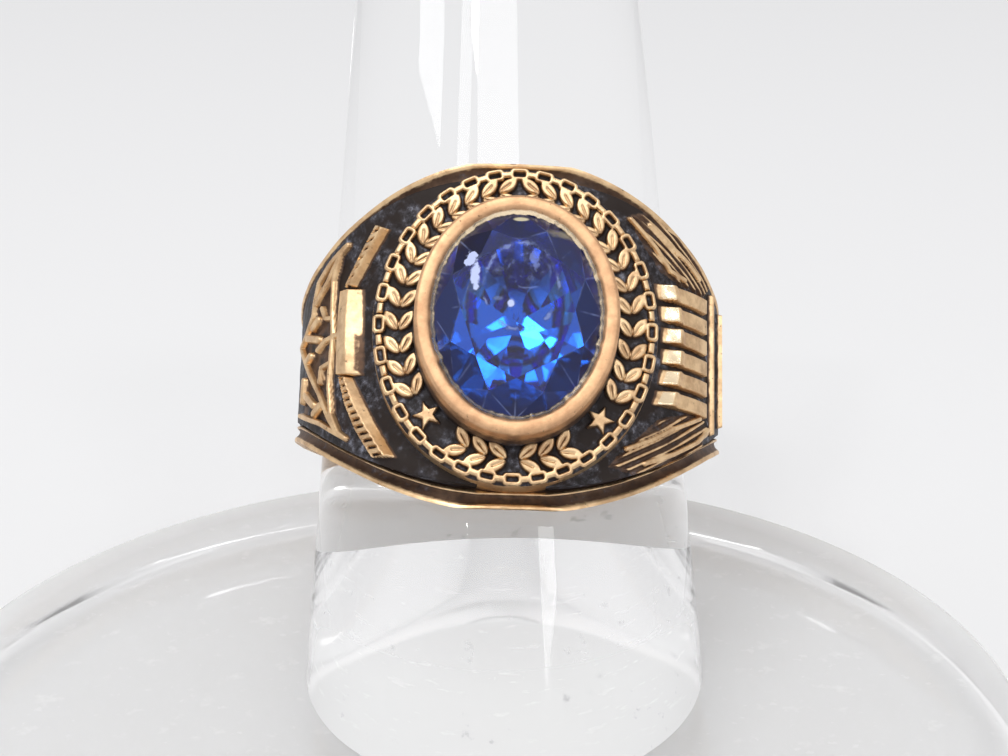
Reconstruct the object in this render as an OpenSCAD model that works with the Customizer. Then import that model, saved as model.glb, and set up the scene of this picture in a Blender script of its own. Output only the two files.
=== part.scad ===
// Class ring with an oval cut stone, seated on a leaning clear display stand.
// Millimetres. Z is up, the viewer stands at -Y, and the origin is the centre of the stand's underside.
// The ring is drawn in its own frame: Z along the finger, -Y out through the stone, X to the right.

/* [Finger hole] */
// Inside diameter of the ring
bore_d = 19.8; // [17:0.1:22]
// Metal between the finger hole and the bottom of the edge channels
groove_wall = 0.85; // [0.7:0.05:1.2]

/* [Band outline] */
// Half height of the band at the face
face_h = 8.6; // [8.4:0.1:9.6]
// Half height of the band at the back of the finger
back_h = 3.0; // [2.4:0.1:4]
// How sharply the band narrows behind the face
taper_power = 4; // [2:0.5:6]
// Height of the outer edge rail over the channel
rail_rise = 0.4; // [0.15:0.05:0.6]
// Extra rise of the rails toward the face
rail_swell = 0.2; // [0.1:0.05:0.5]
// Squareness of the rails seen along the finger
rail_power = 2.2; // [2:0.05:2.5]
// Width of the outer edge rail
rail_w = 0.26; // [0.2:0.02:0.5]
// Width of the channel inside the rail
channel_w = 0.46; // [0.2:0.02:0.6]
// Width of the groove beside the ornament
groove_w = 0.16; // [0.12:0.02:0.3]
// Width of the thin inner ridge
ridge_w = 0.14; // [0.1:0.02:0.2]

/* [Shoulders] */
// Metal from the finger hole to the raised ornament at the sides
side_wall = 1.4; // [1.3:0.05:2]
// Extra rise of the shoulders toward the face
shoulder_rise = 0.95; // [0.5:0.05:1.2]
// Squareness of the shoulders seen along the finger
shoulder_power = 2.5; // [2:0.1:3]
// Height of the cast ornament over its ground
relief = 0.32; // [0.2:0.02:0.4]
// How far the ornament reaches behind the middle of the ring
panel_back = 3; // [1:0.5:5]

/* [Face plate] */
// Half width of the oval plate round the setting
plate_a = 6.8; // [6.6:0.1:7.4]
// Half length of the oval plate
plate_b = 7.75; // [7.6:0.1:8.2]
// Height of the plate's raised border over the finger hole
plate_top = 3.2; // [2.2:0.1:3.6]
// Radius of the plate's gentle curve from side to side
plate_curve = 30; // [20:1:60]
// Number of open links in the chain border
links = 32; // [24:1:36]
// Length of an open link
link_l = 0.84; // [0.6:0.02:0.9]
// Width of an open link
link_w = 0.58; // [0.4:0.02:0.7]
// Width of the short links seen on edge
bar_w = 0.22; // [0.16:0.02:0.3]
// Length of a border leaf
leaf_l = 1.08; // [0.7:0.02:1.1]
// Width of a border leaf
leaf_w = 0.48; // [0.3:0.02:0.5]
// Half width of the two small stars
star_r = 0.62; // [0.4:0.01:0.65]

/* [Stone] */
// Length of the stone
stone_l = 10; // [9.4:0.1:10.4]
// Width of the stone
stone_w = 8; // [7.4:0.1:8.2]
// Height of the stone above its girdle
crown_h = 1.1; // [0.8:0.05:1.5]
// Depth of the stone below its girdle
pavilion_h = 3.1; // [2.4:0.1:3.2]
// Thickness of the girdle
girdle_t = 0.2; // [0.1:0.05:0.3]
// Table size as a share of the stone's width and length
table_share = 0.66; // [0.5:0.02:0.75]

/* [Setting] */
// Height of the collar's rim over the finger hole
rim_top = 5.05; // [4.9:0.05:5.6]
// Metal round the stone at the rim
rim_w = 0.95; // [0.7:0.05:1.1]
// How far the collar spreads toward its foot
collar_flare = 0.1; // [0:0.05:0.5]
// How far the rolled lip covers the stone's edge
lip = 0.18; // [0.08:0.01:0.22]
// Thickness of the rolled lip at its thin edge
lip_t = 0.12; // [0.08:0.01:0.2]
// Rounding of the rim's outer edge
rim_round = 0.16; // [0.05:0.01:0.2]
// Clearance between the stone and its seat
seat_gap = 0.04; // [0.03:0.01:0.08]

/* [Display stand] */
// Diameter of the round base
base_d = 55.4; // [50:0.2:64]
// Thickness of the round base
base_t = 6.4; // [4:0.2:10]
// Diameter of the rod at the middle of its foot
rod_d = 20.3; // [18:0.1:20.6]
// Half angle of the rod's taper
rod_taper = 3.5; // [1:0.1:5]
// Length of the rod along its axis
rod_l = 42; // [36:1:50]
// Lean of the rod from upright
rod_lean = 33.9; // [15:0.5:40]
// Place of the rod's foot on the base, to the right of the middle
foot_x = 2.1; // [-4:0.1:4]
// Place of the rod's foot on the base, behind the middle
foot_y = 4.6; // [0:0.1:8]

/* [Ring on the rod] */
// Distance from the rod's foot to the middle of the ring, which a tight rod holds further up its taper
ring_up = 14.2; // [13.5:0.1:20]
// Least clearance between the rod and the finger hole, where a tight ring stops on the taper
rod_gap = 0.1; // [0.05:0.05:0.25]
// Clearance at the front of the finger hole, where a loose ring rests on the leaning rod
rest_gap = 0.29; // [0.2:0.01:0.4]
// How far the ring hangs to the right of the rod's axis
ring_side = 0.35; // [0:0.05:0.4]
// Extra lean of the ring against the rod
ring_tilt = 0.8; // [0:0.1:1.2]
// Turn of the ring's face to the right
ring_spin = 1.7; // [-10:0.1:10]
// Turn of the ring in the plane of its face
ring_roll = 2; // [-3:0.1:3]

/* [Hidden] */

bore_r = bore_d / 2;
groove_r = bore_r + groove_wall;
rail_r = groove_r + rail_rise;
side_r = bore_r + side_wall;
front_r = side_r + shoulder_rise;
rail_front = rail_r + rail_swell;
// Insets from the band's edge: rail, channel, ridge, groove, then the ornament
ridge_in = rail_w + channel_w;
panel_in = ridge_in + ridge_w + groove_w;
// Where the rails end and the plain back of the shank begins
shank_from = panel_back + 2;
outline_steps = 28;

plate_n = bore_r + plate_top;
ground_n = plate_n - relief;
chain_inset = link_w / 2;
chain_a = plate_a - chain_inset;
chain_b = plate_b - chain_inset;
slot_share = 0.42;

rim_n = bore_r + rim_top;
half_w = stone_w / 2;
half_l = stone_l / 2;
star_share = (1 + table_share) / 2;
star_rise = crown_h * (1 - star_share * cos(22.5)) / (1 - table_share);
// Height of the stone's steepest crown facets where the lip ends
lip_rise = lip / half_w * star_rise / (1 - star_share);
girdle_top = rim_n - lip_t - lip_rise - seat_gap;
girdle_low = girdle_top - girdle_t;
culet_n = girdle_low - pavilion_h;
collar_a = half_w - lip + rim_w;
collar_b = half_l - lip + rim_w;
foot_a = collar_a + collar_flare;
foot_b = collar_b + collar_flare;
oval_sides = 64;
// Middle line of the leaf border, between the collar's foot and the chain
wreath_a = (foot_a + chain_a - chain_inset) / 2;
wreath_b = (foot_b + chain_b - chain_inset) / 2;
star_from_bottom = 49;

// Ellipse angle, in degrees, that spaces points evenly round an oval of half sizes a and b
function even_angle(t, a, b) =
    t + 180 / PI * (a * a - b * b) / (4 * (a * a + b * b)) * sin(2 * t) * -1;
function oval_points(a, b, count) =
    [for (i = [0 : count - 1]) [a * cos(i * 360 / count), b * sin(i * 360 / count)]];

// Half height of the band's edge at a height n toward the face
function edge_h(n) =
    back_h + (face_h - back_h) * pow(max(0, min(1, (n + rail_r) / (2 * rail_r))), taper_power);

// Rod radius at a distance up its axis
function rod_at(up) = rod_d / 2 - up * tan(rod_taper);

// A point on the edge of the finger hole, turned as the ring hangs, and counted from the rod's axis.
// The end is -1 for the lower edge and 1 for the upper.
function hole_edge(a, end) =
    let (x = bore_r * sin(a), y = -bore_r * cos(a), z = end * edge_h(-y),
         x1 = x * cos(ring_roll) + z * sin(ring_roll), z1 = z * cos(ring_roll) - x * sin(ring_roll),
         x2 = x1 * cos(ring_spin) - y * sin(ring_spin), y2 = x1 * sin(ring_spin) + y * cos(ring_spin))
    [x2 + ring_side, y2 * cos(ring_tilt) + z1 * sin(ring_tilt), z1 * cos(ring_tilt) - y2 * sin(ring_tilt)];

// Lowest place on the taper where the hole still clears the rod all round
ring_seat = max([for (end = [-1, 1]) for (a = [0 : 15 : 345]) let (p = hole_edge(a, end))
    (rod_d / 2 + rod_gap - norm([p[0], p[1]])) / tan(rod_taper) - p[2]]);
ring_at = max(ring_up, ring_seat);
// A loose ring hangs back until the front of its hole rests on the rod
hole_front = hole_edge(0, -1);
ring_back = max(0, -hole_front[1] - rest_gap - rod_at(ring_at + hole_front[2]));

// Squared-off outline of the shoulders seen along the finger
function shoulder_x(a, drop) = sign(sin(a)) * (side_r - drop) * pow(abs(sin(a)), 2 / shoulder_power);
function shoulder_n(a, drop) = (front_r - drop) * pow(abs(cos(a)), 2 / shoulder_power);
function shoulder_at(x) = front_r * pow(max(0, 1 - pow(abs(x) / side_r, shoulder_power)), 1 / shoulder_power);

// Solid whose outline, seen from the side, is the band's outline drawn in by an inset.
// A stretch above 1 carries the same outline out to a surface that stands that much further from the finger.
module side_outline(inset, stretch = 1) {
    reach = rail_r + 1;
    heights = [for (i = [0 : outline_steps]) -reach + 2 * reach * i / outline_steps];
    top = [for (n = heights) [-n * stretch, edge_h(n) - inset]];
    low = [for (i = [outline_steps : -1 : 0]) [-heights[i] * stretch, inset - edge_h(heights[i])]];
    rotate([90, 0, 90]) linear_extrude(4 * reach, center = true) polygon(concat(top, low));
}

// Solid band with a rounded back, whose front is a little squared off, drawn in by a drop
module band_block(drop) {
    quarter = 24;
    k = 2 / rail_power;
    front = [for (i = [0 : 2 * quarter]) let (a = -90 + 90 * i / quarter)
        [sign(sin(a)) * (rail_r - drop) * pow(abs(sin(a)), k), -(rail_front - drop) * pow(abs(cos(a)), k)]];
    back = [for (i = [1 : 2 * quarter - 1]) let (a = 90 + 90 * i / quarter)
        (rail_r - drop) * [sin(a), -cos(a)]];
    linear_extrude(2 * face_h + 2, center = true) polygon(concat(front, back));
}

// Strip that follows both edges of the band, between two insets
module edge_strip(from, to) {
    intersection() {
        band_block(0);
        difference() {
            side_outline(from);
            side_outline(to);
        }
        translate([-2 * side_r, -2 * side_r, -face_h])
            cube([4 * side_r, 2 * side_r + shank_from + 0.5, 2 * face_h]);
    }
}

module shoulder_block(drop) {
    quarter = 24;
    front = [for (i = [0 : 2 * quarter])
        let (a = -90 + 90 * i / quarter) [shoulder_x(a, drop), -shoulder_n(a, drop)]];
    back = [[side_r - drop, panel_back], [-side_r + drop, panel_back]];
    intersection() {
        linear_extrude(2 * face_h, center = true) polygon(concat(front, back));
        side_outline(panel_in, front_r / rail_r);
    }
}

// Turns a drawing so that its Z axis points out through the stone
module toward_face() {
    rotate([90, 0, 0]) children();
}

module oval_plate(a, b, low, high) {
    translate([0, 0, low]) linear_extrude(high - low) polygon(oval_points(a, b, oval_sides));
}

// Space under the plate's curved surface, whose crest is at height n
module under_plate(n) {
    translate([0, 0, n - plate_curve]) rotate([90, 0, 0])
        cylinder(r = plate_curve, h = 2 * plate_b + 2, center = true, $fn = 128);
}

module oval_loft(levels) {
    // Each level is [half width, half length, height]
    n = oval_sides;
    last = (len(levels) - 1) * n;
    points = [for (v = levels) for (p = oval_points(v[0], v[1], n)) [p[0], p[1], v[2]]];
    low = [[for (i = [0 : n - 1]) i]];
    high = [[for (i = [0 : n - 1]) last + n - 1 - i]];
    walls = [for (k = [0 : len(levels) - 2]) for (i = [0 : n - 1]) let (j = (i + 1) % n)
        each [[k * n + i, (k + 1) * n + j, k * n + j], [k * n + i, (k + 1) * n + i, (k + 1) * n + j]]];
    polyhedron(points, concat(low, high, walls), convexity = 4);
}

module link_outline(l, w) {
    c = w / 3;
    polygon([[-l / 2, -w / 2 + c], [-l / 2 + c, -w / 2], [l / 2 - c, -w / 2], [l / 2, -w / 2 + c],
             [l / 2, w / 2 - c], [l / 2 - c, w / 2], [-l / 2 + c, w / 2], [-l / 2, w / 2 - c]]);
}

// Puts a drawing on an oval, its X axis along the oval
module on_oval(t, a, b) {
    e = even_angle(t, a, b);
    translate([a * cos(e), b * sin(e)]) rotate(atan2(b * cos(e), -a * sin(e))) children();
}

module chain_border() {
    step = 360 / links;
    gap_l = PI * (chain_a + chain_b) / links - link_l;
    for (i = [0 : links - 1]) {
        on_oval(i * step, chain_a, chain_b) difference() {
            link_outline(link_l, link_w);
            square([link_l * (slot_share + 0.07), link_w * slot_share], center = true);
        }
        on_oval((i + 0.5) * step, chain_a, chain_b) square([gap_l + link_l * 0.14, bar_w], center = true);
    }
}

module leaf(l, w) {
    n = 4;
    top = [for (i = [0 : n]) [l * i / n, w / 2 * sin(180 * i / n)]];
    low = [for (i = [n - 1 : -1 : 1]) [l * i / n, -w / 2 * sin(180 * i / n)]];
    polygon(concat(top, low));
}

module star(r) {
    polygon([for (i = [0 : 9]) let (q = i % 2 == 0 ? r : r * 0.42) [q * cos(36 * i + 90), q * sin(36 * i + 90)]]);
}

// A pair of leaves that spread from one point, pointing along the oval
module leaf_pair() {
    for (side = [-1, 1])
        translate([-leaf_l * 0.4, side * leaf_w * 0.12]) rotate(side * 33) leaf(leaf_l, leaf_w);
}

module leaf_border() {
    upper_step = 9.6;
    lower_step = 10.2;
    for (side = [-1, 1]) {
        for (i = [0 : 12])
            mirror([side < 0 ? 1 : 0, 0]) on_oval(-27 + i * upper_step / 1.04, wreath_a, wreath_b) leaf_pair();
        for (i = [0 : 2])
            mirror([side < 0 ? 1 : 0, 0]) on_oval(-82 + i * lower_step, wreath_a, wreath_b) leaf_pair();
        mirror([side < 0 ? 1 : 0, 0]) on_oval(star_from_bottom - 90, wreath_a, wreath_b) star(star_r);
    }
}

module face_plate() {
    toward_face() {
        intersection() {
            oval_plate(plate_a, plate_b, bore_r * 0.6, plate_n);
            under_plate(ground_n);
        }
        intersection() {
            translate([0, 0, bore_r]) linear_extrude(plate_top) union() {
                chain_border();
                leaf_border();
            }
            under_plate(plate_n);
        }
    }
}

module collar() {
    r = rim_round;
    toward_face() oval_loft([
        [foot_a, foot_b, groove_r],
        [foot_a, foot_b, ground_n],
        [collar_a + 0.3 * r, collar_b + 0.3 * r, rim_n - 2 * r],
        [collar_a - 0.3 * r, collar_b - 0.3 * r, rim_n - 0.6 * r],
        [collar_a - 1.4 * r, collar_b - 1.4 * r, rim_n],
        [half_w - lip + 0.8 * r, half_l - lip + 0.8 * r, rim_n]]);
}

// Seat cut for the stone: open mouth, ledge under the lip, cone and flat bottom
module stone_seat() {
    g = seat_gap;
    floor_share = 0.16;
    toward_face() oval_loft([
        [half_w * floor_share, half_l * floor_share, culet_n - g * 2],
        [half_w + g, half_l + g, girdle_low - g],
        [half_w + g, half_l + g, girdle_top + g],
        [half_w - lip, half_l - lip, girdle_top + g + lip_rise],
        [half_w - lip, half_l - lip, rim_n - 0.5 * lip_t],
        [half_w - lip + lip_t, half_l - lip + lip_t, rim_n + 0.5 * lip_t]]);
}

// Direction in which the shoulder ornament is drawn
ornament_turn = 58;
// Width of a fine line of the ornament, and of the leaves' bars
line_w = 0.7 * relief;
leaf_bar_w = relief;

// A point given as [share of the band's half width, share of its half height at the face], seen from the
// front, laid out flat along the ornament
function laid(p) =
    let (x = p[0] * side_r) [x * cos(ornament_turn) - shoulder_at(x) * sin(ornament_turn), p[1] * face_h];

// Straight raised bar between two points
module relief_bar(p, q, w = line_w) {
    a = laid(p);
    b = laid(q);
    d = b - a;
    s = w / 2 / norm(d) * [-d[1], d[0]];
    polygon([a + s, b + s, b - s, a - s]);
}

module relief_patch(points) {
    polygon([for (p = points) laid(p)]);
}

// Bent three-part bracket beside the plate, and a lattice of straight bars
module bracket_ornament() {
    relief_patch([[0.774, 0.293], [0.664, 0.264], [0.535, 0.592], [0.588, 0.655]]);
    relief_patch([[0.774, 0.299], [0.664, 0.27], [0.65, -0.241], [0.761, -0.218]]);
    relief_patch([[0.761, -0.213], [0.65, -0.236], [0.509, -0.707], [0.566, -0.759]]);
    bars = [
        [[0.704, 0.557], [0.801, 0.046]],
        [[0.801, 0.057], [0.801, -0.448]],
        [[0.801, -0.437], [0.726, -0.598]],
        [[0.726, 0.517], [0.889, 0.264]],
        [[0.885, 0.27], [0.982, 0.046]],
        [[0.956, 0.161], [0.805, -0.448]],
        [[0.796, 0.046], [0.92, -0.023]],
        [[0.796, 0.23], [0.894, 0.103]],
        [[0.801, -0.218], [0.867, -0.253]],
        [[0.73, -0.586], [0.991, -0.253]],
        [[0.912, -0.034], [0.982, -0.253]]];
    for (b = bars) relief_bar(b[0], b[1]);
}

// Ribbed banner with two frame lines, and leaves above and below it
module banner_ornament() {
    rows = 6;
    low = -0.38;
    pitch = 0.124;
    left = 0.633;
    right = 0.858;
    for (i = [0 : rows - 1])
        relief_patch([[left, low + i * pitch + 0.018], [right, low + i * pitch + 0.018],
                      [right, low + (i + 1) * pitch - 0.011], [left, low + (i + 1) * pitch - 0.011]]);
    relief_bar([0.898, -0.425], [0.898, 0.402]);
    relief_bar([0.956, -0.333], [0.956, 0.345]);
    for (s = [-1, 1]) {
        relief_bar([0.558, s * 0.632], [0.717, s * 0.431], leaf_bar_w);
        relief_bar([0.611, s * 0.655], [0.814, s * 0.437], leaf_bar_w);
        relief_bar([0.717, s * 0.586], [0.876, s * 0.46], leaf_bar_w);
        relief_bar([0.832, s * 0.506], [0.973, s * 0.379]);
    }
}

module shoulder_ornament() {
    intersection() {
        shoulder_block(0);
        union() {
            rotate([0, 0, ornament_turn]) toward_face() translate([0, 0, 0.7 * side_r])
                linear_extrude(side_r) banner_ornament();
            rotate([0, 0, -ornament_turn]) toward_face() translate([0, 0, 0.7 * side_r])
                linear_extrude(side_r) mirror([1, 0]) bracket_ornament();
        }
    }
}

module band_core() {
    intersection() {
        band_block(rail_rise);
        side_outline(0);
    }
    // Plain back of the shank, level with the rails
    intersection() {
        band_block(0);
        side_outline(0);
        translate([-2 * side_r, shank_from, -face_h]) cube([4 * side_r, 2 * side_r, 2 * face_h]);
    }
}

module ring_casting() {
    difference() {
        union() {
            band_core();
            edge_strip(0, rail_w);
            edge_strip(ridge_in, ridge_in + ridge_w);
            shoulder_block(relief);
            shoulder_ornament();
            face_plate();
            collar();
        }
        cylinder(r = bore_r, h = 4 * face_h, center = true, $fn = 128);
        stone_seat();
    }
}

// Half size of the stone, from 0 at its middle to 1 at its girdle, at an angle counted in sixteenths
function cut_point(share, sixteenth, n) =
    [half_w * share * cos(22.5 * sixteenth), half_l * share * sin(22.5 * sixteenth), n];

module cut_stone() {
    star_n = girdle_top + star_rise;
    tip_share = 0.28;
    tip_n = culet_n + pavilion_h * tip_share * cos(22.5);
    table = [for (k = [0 : 7]) cut_point(table_share, 2 * k, girdle_top + crown_h)];
    stars = [for (k = [0 : 7]) cut_point(star_share, 2 * k + 1, star_n)];
    upper = [for (k = [0 : 15]) cut_point(1, k, girdle_top)];
    lower = [for (k = [0 : 15]) cut_point(1, k, girdle_low)];
    tips = [for (k = [0 : 7]) cut_point(tip_share, 2 * k + 1, tip_n)];
    culet = [[0, 0, culet_n]];
    s = 8;
    u = 16;
    l = 32;
    t = 48;
    c = 56;
    faces = concat(
        [[for (k = [0 : 7]) 7 - k]],
        [for (k = [0 : 7]) [k, (k + 1) % 8, s + k]],
        [for (k = [0 : 7]) each [[k, s + k, u + 2 * k], [k, u + 2 * k, s + (k + 7) % 8]]],
        [for (k = [0 : 7]) each [[s + k, u + 2 * k + 1, u + 2 * k], [s + k, u + (2 * k + 2) % 16, u + 2 * k + 1]]],
        [for (k = [0 : 15]) each [[u + k, u + (k + 1) % 16, l + (k + 1) % 16], [u + k, l + (k + 1) % 16, l + k]]],
        [for (k = [0 : 7]) each [[t + k, l + 2 * k, l + 2 * k + 1], [t + k, l + 2 * k + 1, l + (2 * k + 2) % 16]]],
        [for (k = [0 : 7]) each [[c, l + 2 * k, t + k], [c, t + (k + 7) % 8, l + 2 * k]]]);
    toward_face() polyhedron(concat(table, stars, upper, lower, tips, culet), faces, convexity = 2);
}

module at_rod_foot() {
    translate([foot_x, foot_y, base_t]) rotate([-rod_lean, 0, 0]) children();
}

// The ring hangs with the front of its hole on the rod
module on_the_rod() {
    at_rod_foot() translate([ring_side, ring_back, ring_at]) rotate([-ring_tilt, 0, 0])
        rotate([0, 0, ring_spin]) rotate([0, ring_roll, 0]) children();
}

module ring_band() {
    color("goldenrod") on_the_rod() ring_casting();
}

module stone() {
    color("royalblue") on_the_rod() cut_stone();
}

module stand_rod() {
    below = rod_d;
    color("lightcyan") difference() {
        at_rod_foot() translate([0, 0, -below])
            cylinder(r1 = rod_at(-below), r2 = rod_at(rod_l), h = below + rod_l, $fn = 96);
        translate([-2 * base_d, -2 * base_d, base_t - 2 * base_d]) cube([4 * base_d, 4 * base_d, 2 * base_d]);
    }
}

module stand_base() {
    color("lightcyan") cylinder(d = base_d, h = base_t, $fn = 128);
}

ring_band();
stone();
stand_rod();
stand_base();
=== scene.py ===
# %% [markdown]
# # A class ring on a clear display stand
# The solids of the ring, its stone and its stand come in as a fixed frame, and this lesson dresses
# them. The ring is one casting with worn gold tops and a blackened ground, the stone is a faceted oval
# of blue glass, and the stand is a leaning clear rod on a clear round base. Every new surface is worked
# out with numpy as a whole grid of points in millimetres, and put in place in metres at the end.

# %% The frame
import math

import bpy
import numpy as np
from mathutils import Matrix, Vector


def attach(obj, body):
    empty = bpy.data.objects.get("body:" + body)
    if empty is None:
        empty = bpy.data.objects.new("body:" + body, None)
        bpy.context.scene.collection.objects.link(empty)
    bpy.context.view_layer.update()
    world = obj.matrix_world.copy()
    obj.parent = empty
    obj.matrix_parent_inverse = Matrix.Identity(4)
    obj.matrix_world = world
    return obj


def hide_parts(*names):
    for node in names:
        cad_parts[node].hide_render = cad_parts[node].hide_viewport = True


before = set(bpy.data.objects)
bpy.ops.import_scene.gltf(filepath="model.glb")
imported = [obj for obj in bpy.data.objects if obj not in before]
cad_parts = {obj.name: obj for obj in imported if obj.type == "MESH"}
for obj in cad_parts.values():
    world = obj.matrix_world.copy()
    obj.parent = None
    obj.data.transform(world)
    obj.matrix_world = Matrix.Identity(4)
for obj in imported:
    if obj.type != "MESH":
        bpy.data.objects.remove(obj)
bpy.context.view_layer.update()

mm = 0.001
print("nodes:", sorted(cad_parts))

# %% [markdown]
# ## The sizes of the real thing
# A piece that replaces a solid has to keep its sizes, so the sizes of the ring are written here once,
# in millimetres. The ring has its own directions: x to the right, s up along the finger, and n out
# through the stone. One matrix then carries a point of the ring to its place on the leaning rod. In the
# names, r is a radius, a and b are half the width and length of an oval, h is a half height, l and w are
# a length and a width, t is a thickness, and n is a height over the middle of the finger.

# %% Sizes
bore_r, rail_r, rail_front, rail_power = 9.9, 11.15, 11.35, 2.2
side_r, front_r, squareness, relief = 11.3, 12.25, 2.5, 0.32
face_h, back_h, flare_power = 8.6, 3.0, 4
panel_in, panel_back, panel_under = 1.02, 3.0, 10.4
shank_from, run_out, cast_wave = 5.0, 0.5, 0.012
plate_a, plate_b, plate_n, plate_curve = 6.8, 7.75, 13.1, 30.0
ground_n, deep_n, under_n = plate_n - relief, 10.6, 10.15
links, link_l, link_w, bar_w = 32, 0.96, 0.64, 0.28
chain_a, chain_b = plate_a - 0.31, plate_b - 0.31
wreath_a, wreath_b, leaf_l, leaf_w = 5.54, 6.51, 1.16, 0.6
rim_n, mouth_a, mouth_b, foot_a, foot_b = 14.95, 3.82, 4.82, 4.87, 5.87
seat_a, seat_b, seat_n, seat_low_n, collar_low_n = 4.03, 5.03, 14.35, 11.22, 10.9
stone_a, stone_b, girdle_top, girdle_low, culet_n = 4, 5, 14.59, 14.39, 11.29
base_d, base_t = 55.4, 6.4
rod_r, rod_taper, rod_l, rod_lean = 10.15, 3.5, 42.0, 33.9
foot_x, foot_y = 2.1, 4.6
ring_side, ring_along, ring_tip, ring_turn, ring_roll = 0.35, 14.2, -0.8, 1.7, 2.0


def turn(degrees, axis):
    """Rotation about one axis, as a 4 by 4 matrix."""
    return Matrix.Rotation(math.radians(degrees), 4, axis)


rod_place = Matrix.Translation((foot_x, foot_y, base_t)) @ turn(-rod_lean, "X")
ring_place = (rod_place @ Matrix.Translation((ring_side, 0, ring_along)) @ turn(ring_tip, "X")
              @ turn(ring_turn, "Z") @ turn(ring_roll, "Y"))


def placed(points, place):
    """Points in millimetres times a place matrix, then in metres."""
    m = np.array(place)
    return (points @ m[:3, :3].T + m[:3, 3]) * mm


def ring_points(x, s, n):
    """Ring directions to the ring's own axes: right is X, out through the stone is -Y, the finger is Z."""
    return placed(np.stack(np.broadcast_arrays(x, -n, s), -1), ring_place)


def middle_point(n):
    """The point of the stone's middle line at a height n."""
    return ring_points(np.array(0.0), np.array(0.0), np.array(n))


print("middle of the stone in mm:", (middle_point(rim_n) / mm).round(2))

# %% [markdown]
# ## The camera
# The place of the camera was worked out from the outlines of the rod, the base and the ring. It stands
# 85 mm from the point it aims at, looks down by almost 21 degrees, and is turned by half a degree. Its
# three directions are written as columns of a matrix, so nothing is left to a tracking constraint.

# %% Camera
pitch, roll = math.radians(20.81), math.radians(-0.58)
aim, away = Vector((2.24, -7.49, 26.4)), 85.2
ahead = Vector((0, math.cos(pitch), -math.sin(pitch)))
level = Vector((1, 0, 0))
above = level.cross(ahead)
right = math.cos(roll) * level + math.sin(roll) * above
upward = math.cos(roll) * above - math.sin(roll) * level
eye = (aim - away * ahead) * mm

camera = bpy.data.objects.new("camera", bpy.data.cameras.new("camera"))
camera.matrix_world = Matrix((right, upward, -ahead)).transposed().to_4x4()
camera.matrix_world.translation = eye
camera.data.sensor_width = 36
camera.data.lens = 71.43
camera.data.clip_start = 0.002
bpy.context.collection.objects.link(camera)
bpy.context.scene.camera = camera
print("camera at (mm):", [round(c / mm, 1) for c in eye])

# %% [markdown]
# ## Turning a grid of numbers into a mesh
# Every surface below is a grid of points, and four neighbouring points make one face. The columns close
# on themselves like a tube. The rows do so too, like a tube bent into a ring, or each end is closed by a
# fan to one middle point. The sign of the volume shows whether the faces point outwards, so a wrong way
# round is put right for the whole mesh at once.

# %% Grid to mesh
def surface(name, points, lift, sharp, ends=None):
    """Faces between neighbouring points of a grid, with fans to the end points if it has them."""
    rows, columns = points.shape[:2]
    index = np.arange(rows * columns).reshape(rows, columns)
    spots, values, fans = points.reshape(-1, 3), lift.ravel(), []
    for row, end in zip((index[0], index[-1][::-1]), ends or ()):
        middle = len(spots)
        spots = np.vstack([spots, end])
        values = np.append(values, values[row].mean())
        fans.append(np.stack([np.full(columns, middle), np.roll(row, -1), row], -1))
    if not ends:
        index = np.vstack([index, index[:1]])
    index = np.hstack([index, index[:, :1]])
    quads = np.stack([index[:-1, :-1], index[:-1, 1:], index[1:, 1:], index[1:, :-1]], -1).reshape(-1, 4)
    fans = np.concatenate(fans) if fans else np.zeros((0, 3), int)
    triangles = np.concatenate([quads[:, [0, 1, 2]], quads[:, [0, 2, 3]], fans])
    a, b, c = (spots[triangles[:, k]] for k in range(3))
    if np.einsum("ij,ij->", a, np.cross(b, c)) < 0:
        quads, fans = quads[:, ::-1], fans[:, ::-1]
    corners = np.concatenate([quads.ravel(), fans.ravel()])
    sizes = np.concatenate([np.full(len(quads), 4), np.full(len(fans), 3)])
    piece = mesh_object(name, spots, corners, sizes, sharp)
    piece.data.attributes.new("lift", "FLOAT", "POINT").data.foreach_set("value", values.astype(np.float32))
    print(name, "has", len(triangles), "triangles")
    return piece


def mesh_object(name, spots, corners, sizes, sharp):
    """A mesh from points, the corners of all faces in a row, and each face's number of corners."""
    mesh = bpy.data.meshes.new(name)
    mesh.vertices.add(len(spots))
    mesh.vertices.foreach_set("co", spots.ravel())
    mesh.loops.add(len(corners))
    mesh.loops.foreach_set("vertex_index", corners)
    mesh.polygons.add(len(sizes))
    mesh.polygons.foreach_set("loop_start", np.cumsum(sizes) - sizes)
    mesh.update(calc_edges=True)
    mesh.validate()
    mesh.shade_smooth()
    mesh.set_sharp_from_angle(angle=math.radians(sharp))
    piece = bpy.data.objects.new(name, mesh)
    bpy.context.collection.objects.link(piece)
    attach(piece, "root")
    return piece


def smooth(t):
    """A step from 0 to 1 with a soft start and end: 3 t squared minus 2 t cubed."""
    t = np.clip(t, 0, 1)
    return t * t * (3 - 2 * t)


def wobble(p, q, seed, size=1.0):
    """Smooth uneven noise from -1 to 1: a sum of eight waves that cross at odd angles."""
    waves = np.random.default_rng(seed)
    total = 0
    for k in range(8):
        angle, phase = waves.uniform(0, 2 * math.pi, 2)
        pace = waves.uniform(0.6, 1.8) / size
        total = total + np.sin(pace * (p * math.cos(angle) + q * math.sin(angle)) + phase)
    return total / 4


# %% [markdown]
# ## The outline of the band
# Seen from the side, the band is tall at the face and narrow behind the finger. The half height follows
# the fourth power of the place from back to front, which keeps the back straight and flares late.
# Seen along the finger, the shoulders are a squared-off circle: |x| to the power 2.5 plus n to the
# power 2.5, each over its own radius, stays 1.

# %% Outline
def edge_h(n):
    """Half height of the band: back height plus the rest times the fourth power of (n + r) / 2r."""
    return back_h + (face_h - back_h) * np.clip((n + rail_r) / (2 * rail_r), 0, 1) ** flare_power


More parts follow.
